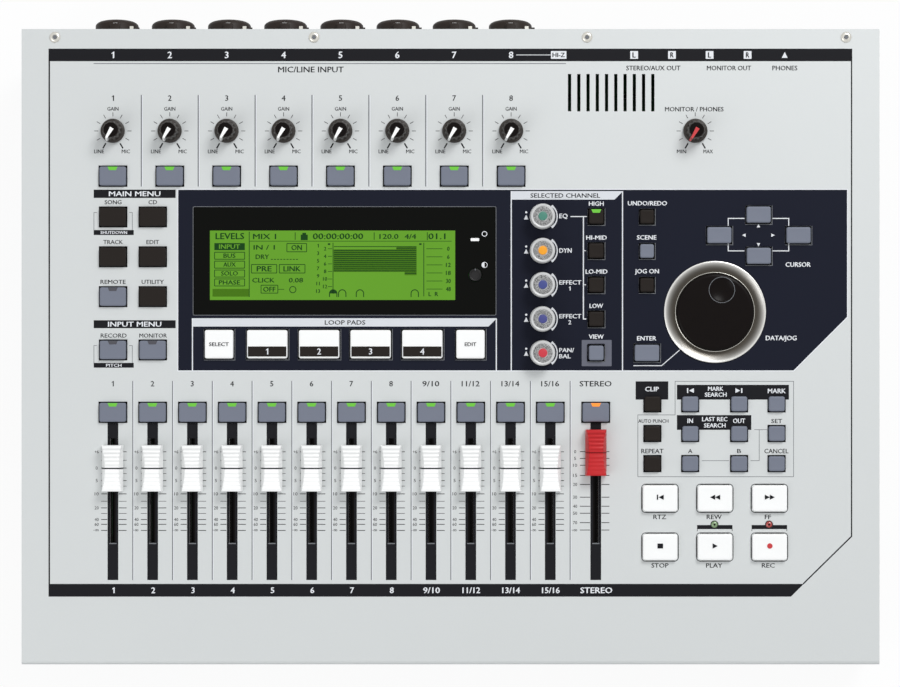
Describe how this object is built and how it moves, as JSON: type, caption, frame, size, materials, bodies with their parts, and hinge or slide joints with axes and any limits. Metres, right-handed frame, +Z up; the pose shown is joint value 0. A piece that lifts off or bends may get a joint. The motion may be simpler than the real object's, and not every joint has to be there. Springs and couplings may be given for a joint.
{
  "type": "multitrack recorder",
  "caption": "Desktop multitrack recorder: sloped silver deck with channel faders, gain knobs, key banks, display, jog wheel and transport keys, input jacks along the rear, disc tray in front.",
  "frame": {"origin": "on the table under the middle of the recorder's outer box", "axes": "+X to the right along the front, +Y to the rear, +Z up"},
  "size_m": [0.465, 0.3494, 0.0986],
  "materials": {
    "silver_paint": "fine satin metallic paint",
    "case_paint": "satin dark grey paint",
    "rubber": "matt",
    "grey_key": "matt slate grey",
    "dark_key": "matt black",
    "white_key": "satin white",
    "red_cap": "satin red",
    "white_cap": "satin white",
    "board": "solder mask",
    "steel": "plain sheet",
    "black_plastic": "satin black",
    "knob_plastic": "fine grain black",
    "silver_plastic": "bright metallic lacquer",
    "window": "glossy black",
    "screen": "lit green"
  },
  "bodies": {
    "chassis": {"bottom_case": "case_paint", "cd_drive": "steel", "display_window": "window", "foot_1": "rubber", "foot_2": "rubber", "foot_3": "rubber", "foot_4": "rubber", "hard_disk": "steel", "input_jacks": "black_plastic", "jog_bezel": "silver_plastic", "lcd_module": "screen", "main_board": "board", "panel_board": "board", "rear_panel": "case_paint", "top_panel": "silver_paint"},
    "input_keys": {"input_keys": "grey_key"},
    "channel_keys": {"channel_keys": "grey_key"},
    "navigate_keys": {"navigate_keys": "dark_key"},
    "loop_pads": {"loop_pads": "white_key"},
    "band_keys": {"band_keys": "dark_key"},
    "edit_keys": {"edit_keys": "dark_key"},
    "cursor_keys": {"cursor_keys": "grey_key"},
    "locate_keys": {"locate_keys": "grey_key"},
    "return_key": {"return_key": "white_key"},
    "rewind_key": {"rewind_key": "white_key"},
    "forward_key": {"forward_key": "white_key"},
    "stop_key": {"stop_key": "white_key"},
    "play_key": {"play_key": "white_key"},
    "record_key": {"record_key": "white_key"},
    "standby_button": {"standby_button": "black_plastic"},
    "cd_tray": {"cd_tray": "black_plastic"},
    "fader_1": {"fader_1": "white_cap"},
    "fader_2": {"fader_2": "white_cap"},
    "fader_3": {"fader_3": "white_cap"},
    "fader_4": {"fader_4": "white_cap"},
    "fader_5": {"fader_5": "white_cap"},
    "fader_6": {"fader_6": "white_cap"},
    "fader_7": {"fader_7": "white_cap"},
    "fader_8": {"fader_8": "white_cap"},
    "fader_9": {"fader_9": "white_cap"},
    "fader_10": {"fader_10": "white_cap"},
    "fader_11": {"fader_11": "white_cap"},
    "fader_12": {"fader_12": "white_cap"},
    "fader_stereo": {"fader_stereo": "red_cap"},
    "gain_knob_1": {"gain_knob_1": "knob_plastic"},
    "gain_knob_2": {"gain_knob_2": "knob_plastic"},
    "gain_knob_3": {"gain_knob_3": "knob_plastic"},
    "gain_knob_4": {"gain_knob_4": "knob_plastic"},
    "gain_knob_5": {"gain_knob_5": "knob_plastic"},
    "gain_knob_6": {"gain_knob_6": "knob_plastic"},
    "gain_knob_7": {"gain_knob_7": "knob_plastic"},
    "gain_knob_8": {"gain_knob_8": "knob_plastic"},
    "monitor_knob": {"monitor_knob": "knob_plastic"},
    "contrast_knob": {"contrast_knob": "knob_plastic"},
    "encoder_1": {"encoder_1": "silver_plastic"},
    "encoder_2": {"encoder_2": "silver_plastic"},
    "encoder_3": {"encoder_3": "silver_plastic"},
    "encoder_4": {"encoder_4": "silver_plastic"},
    "encoder_5": {"encoder_5": "silver_plastic"},
    "jog_dial": {"jog_dial": "black_plastic"}
  },
  "joints": [
    {"name": "input_keys_slide", "type": "slide", "parent": "chassis", "child": "input_keys", "axis": [0, 0.1045, -0.9945], "range_m": [0, 0.0008], "stiffness_N_per_m": 500},
    {"name": "channel_keys_slide", "type": "slide", "parent": "chassis", "child": "channel_keys", "axis": [0, 0.1045, -0.9945], "range_m": [0, 0.0008], "stiffness_N_per_m": 500},
    {"name": "navigate_keys_slide", "type": "slide", "parent": "chassis", "child": "navigate_keys", "axis": [0, 0.1045, -0.9945], "range_m": [0, 0.0008], "stiffness_N_per_m": 500},
    {"name": "loop_pads_slide", "type": "slide", "parent": "chassis", "child": "loop_pads", "axis": [0, 0.1045, -0.9945], "range_m": [0, 0.0008], "stiffness_N_per_m": 500},
    {"name": "band_keys_slide", "type": "slide", "parent": "chassis", "child": "band_keys", "axis": [0, 0.1045, -0.9945], "range_m": [0, 0.0008], "stiffness_N_per_m": 500},
    {"name": "edit_keys_slide", "type": "slide", "parent": "chassis", "child": "edit_keys", "axis": [0, 0.1045, -0.9945], "range_m": [0, 0.0008], "stiffness_N_per_m": 500},
    {"name": "cursor_keys_slide", "type": "slide", "parent": "chassis", "child": "cursor_keys", "axis": [0, 0.1045, -0.9945], "range_m": [0, 0.0008], "stiffness_N_per_m": 500},
    {"name": "locate_keys_slide", "type": "slide", "parent": "chassis", "child": "locate_keys", "axis": [0, 0.1045, -0.9945], "range_m": [0, 0.0008], "stiffness_N_per_m": 500},
    {"name": "return_key_slide", "type": "slide", "parent": "chassis", "child": "return_key", "axis": [0, 0.1045, -0.9945], "range_m": [0, 0.0008], "stiffness_N_per_m": 500},
    {"name": "rewind_key_slide", "type": "slide", "parent": "chassis", "child": "rewind_key", "axis": [0, 0.1045, -0.9945], "range_m": [0, 0.0008], "stiffness_N_per_m": 500},
    {"name": "forward_key_slide", "type": "slide", "parent": "chassis", "child": "forward_key", "axis": [0, 0.1045, -0.9945], "range_m": [0, 0.0008], "stiffness_N_per_m": 500},
    {"name": "stop_key_slide", "type": "slide", "parent": "chassis", "child": "stop_key", "axis": [0, 0.1045, -0.9945], "range_m": [0, 0.0008], "stiffness_N_per_m": 500},
    {"name": "play_key_slide", "type": "slide", "parent": "chassis", "child": "play_key", "axis": [0, 0.1045, -0.9945], "range_m": [0, 0.0008], "stiffness_N_per_m": 500},
    {"name": "record_key_slide", "type": "slide", "parent": "chassis", "child": "record_key", "axis": [0, 0.1045, -0.9945], "range_m": [0, 0.0008], "stiffness_N_per_m": 500},
    {"name": "standby_button_slide", "type": "slide", "parent": "chassis", "child": "standby_button", "axis": [0, -1, 0], "range_m": [0, 0.0025], "stiffness_N_per_m": 400},
    {"name": "cd_tray_slide", "type": "slide", "parent": "chassis", "child": "cd_tray", "axis": [0, -1, 0], "range_m": [0, 0.115]},
    {"name": "fader_1_slide", "type": "slide", "parent": "chassis", "child": "fader_1", "axis": [0, 0.9945, 0.1045], "range_m": [-0.035, 0.01]},
    {"name": "fader_2_slide", "type": "slide", "parent": "chassis", "child": "fader_2", "axis": [0, 0.9945, 0.1045], "range_m": [-0.035, 0.01]},
    {"name": "fader_3_slide", "type": "slide", "parent": "chassis", "child": "fader_3", "axis": [0, 0.9945, 0.1045], "range_m": [-0.035, 0.01]},
    {"name": "fader_4_slide", "type": "slide", "parent": "chassis", "child": "fader_4", "axis": [0, 0.9945, 0.1045], "range_m": [-0.035, 0.01]},
    {"name": "fader_5_slide", "type": "slide", "parent": "chassis", "child": "fader_5", "axis": [0, 0.9945, 0.1045], "range_m": [-0.035, 0.01]},
    {"name": "fader_6_slide", "type": "slide", "parent": "chassis", "child": "fader_6", "axis": [0, 0.9945, 0.1045], "range_m": [-0.035, 0.01]},
    {"name": "fader_7_slide", "type": "slide", "parent": "chassis", "child": "fader_7", "axis": [0, 0.9945, 0.1045], "range_m": [-0.035, 0.01]},
    {"name": "fader_8_slide", "type": "slide", "parent": "chassis", "child": "fader_8", "axis": [0, 0.9945, 0.1045], "range_m": [-0.035, 0.01]},
    {"name": "fader_9_slide", "type": "slide", "parent": "chassis", "child": "fader_9", "axis": [0, 0.9945, 0.1045], "range_m": [-0.035, 0.01]},
    {"name": "fader_10_slide", "type": "slide", "parent": "chassis", "child": "fader_10", "axis": [0, 0.9945, 0.1045], "range_m": [-0.035, 0.01]},
    {"name": "fader_11_slide", "type": "slide", "parent": "chassis", "child": "fader_11", "axis": [0, 0.9945, 0.1045], "range_m": [-0.035, 0.01]},
    {"name": "fader_12_slide", "type": "slide", "parent": "chassis", "child": "fader_12", "axis": [0, 0.9945, 0.1045], "range_m": [-0.035, 0.01]},
    {"name": "fader_stereo_slide", "type": "slide", "parent": "chassis", "child": "fader_stereo", "axis": [0, 0.9945, 0.1045], "range_m": [-0.0435, 0.0015]},
    {"name": "gain_knob_1_turn", "type": "hinge", "parent": "chassis", "child": "gain_knob_1", "pos_m": [-0.183, 0.11275, 0.08422], "axis": [0, 0.1045, -0.9945], "range_deg": [0, 300]},
    {"name": "gain_knob_2_turn", "type": "hinge", "parent": "chassis", "child": "gain_knob_2", "pos_m": [-0.15217, 0.11275, 0.08422], "axis": [0, 0.1045, -0.9945], "range_deg": [0, 300]},
    {"name": "gain_knob_3_turn", "type": "hinge", "parent": "chassis", "child": "gain_knob_3", "pos_m": [-0.12134, 0.11275, 0.08422], "axis": [0, 0.1045, -0.9945], "range_deg": [0, 300]},
    {"name": "gain_knob_4_turn", "type": "hinge", "parent": "chassis", "child": "gain_knob_4", "pos_m": [-0.09051, 0.11275, 0.08422], "axis": [0, 0.1045, -0.9945], "range_deg": [0, 300]},
    {"name": "gain_knob_5_turn", "type": "hinge", "parent": "chassis", "child": "gain_knob_5", "pos_m": [-0.05968, 0.11275, 0.08422], "axis": [0, 0.1045, -0.9945], "range_deg": [0, 300]},
    {"name": "gain_knob_6_turn", "type": "hinge", "parent": "chassis", "child": "gain_knob_6", "pos_m": [-0.02885, 0.11275, 0.08422], "axis": [0, 0.1045, -0.9945], "range_deg": [0, 300]},
    {"name": "gain_knob_7_turn", "type": "hinge", "parent": "chassis", "child": "gain_knob_7", "pos_m": [0.00198, 0.11275, 0.08422], "axis": [0, 0.1045, -0.9945], "range_deg": [0, 300]},
    {"name": "gain_knob_8_turn", "type": "hinge", "parent": "chassis", "child": "gain_knob_8", "pos_m": [0.03281, 0.11275, 0.08422], "axis": [0, 0.1045, -0.9945], "range_deg": [0, 300]},
    {"name": "monitor_knob_turn", "type": "hinge", "parent": "chassis", "child": "monitor_knob", "pos_m": [0.1326, 0.11275, 0.08422], "axis": [0, 0.1045, -0.9945], "range_deg": [0, 300]},
    {"name": "contrast_knob_turn", "type": "hinge", "parent": "chassis", "child": "contrast_knob", "pos_m": [0.0134, 0.03518, 0.07607], "axis": [0, 0.1045, -0.9945], "range_deg": [-135, 135]},
    {"name": "encoder_1_turn", "type": "hinge", "parent": "chassis", "child": "encoder_1", "pos_m": [0.0498, 0.06661, 0.07938], "axis": [0, 0.1045, -0.9945], "continuous": true},
    {"name": "encoder_2_turn", "type": "hinge", "parent": "chassis", "child": "encoder_2", "pos_m": [0.0498, 0.04821, 0.07744], "axis": [0, 0.1045, -0.9945], "continuous": true},
    {"name": "encoder_3_turn", "type": "hinge", "parent": "chassis", "child": "encoder_3", "pos_m": [0.0498, 0.02981, 0.07551], "axis": [0, 0.1045, -0.9945], "continuous": true},
    {"name": "encoder_4_turn", "type": "hinge", "parent": "chassis", "child": "encoder_4", "pos_m": [0.0498, 0.01141, 0.07357], "axis": [0, 0.1045, -0.9945], "continuous": true},
    {"name": "encoder_5_turn", "type": "hinge", "parent": "chassis", "child": "encoder_5", "pos_m": [0.0498, -0.00689, 0.07165], "axis": [0, 0.1045, -0.9945], "continuous": true},
    {"name": "jog_dial_turn", "type": "hinge", "parent": "chassis", "child": "jog_dial", "pos_m": [0.1433, 0.01519, 0.07397], "axis": [0, 0.1045, -0.9945], "continuous": true}
  ]
}
